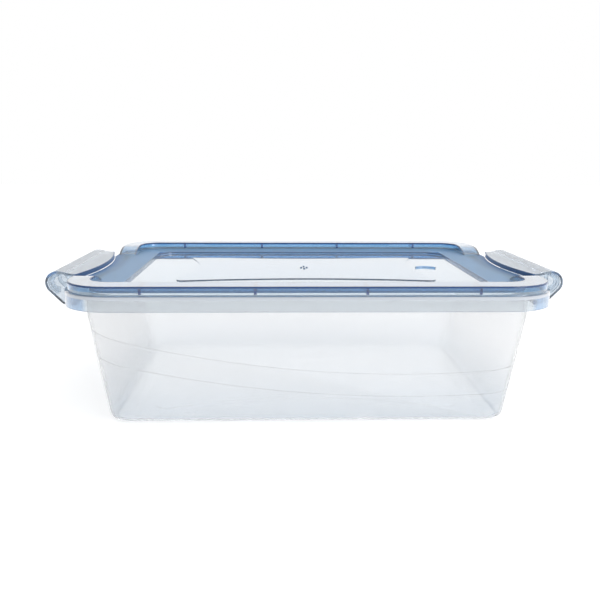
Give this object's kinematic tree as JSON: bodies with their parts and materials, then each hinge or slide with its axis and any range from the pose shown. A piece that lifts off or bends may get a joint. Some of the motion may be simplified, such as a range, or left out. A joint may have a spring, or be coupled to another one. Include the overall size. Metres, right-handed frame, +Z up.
{
  "type": "under bed storage box",
  "caption": "Shallow clear storage box with sloping walls, a lift-off tinted lid and a hinged clip handle on each short end.",
  "frame": {"origin": "centre of the tub's underside, at the bottom centre of the whole box", "axes": "+X along the length towards the right handle, +Y towards the back, +Z up"},
  "size_m": [0.583, 0.4, 0.154],
  "materials": {
    "clear_plastic": "clear, slightly milky polypropylene, gloss",
    "blue_plastic": "blue-tinted translucent polypropylene, gloss with a satin ledge"
  },
  "bodies": {
    "tub": {"tub": "clear_plastic"},
    "lid": {"lid": "blue_plastic"},
    "left_handle": {"left_handle": "blue_plastic"},
    "right_handle": {"right_handle": "blue_plastic"}
  },
  "joints": [
    {"name": "lid_lift", "type": "slide", "parent": "tub", "child": "lid", "axis": [0, 0, 1], "range_m": [0, 0.15]},
    {"name": "left_handle_hinge", "type": "hinge", "parent": "tub", "child": "left_handle", "pos_m": [-0.2605, 0, 0.11846], "axis": [0, -1, 0], "range_deg": [0, 110]},
    {"name": "right_handle_hinge", "type": "hinge", "parent": "tub", "child": "right_handle", "pos_m": [0.2605, 0, 0.11846], "axis": [0, 1, 0], "range_deg": [0, 110]}
  ]
}
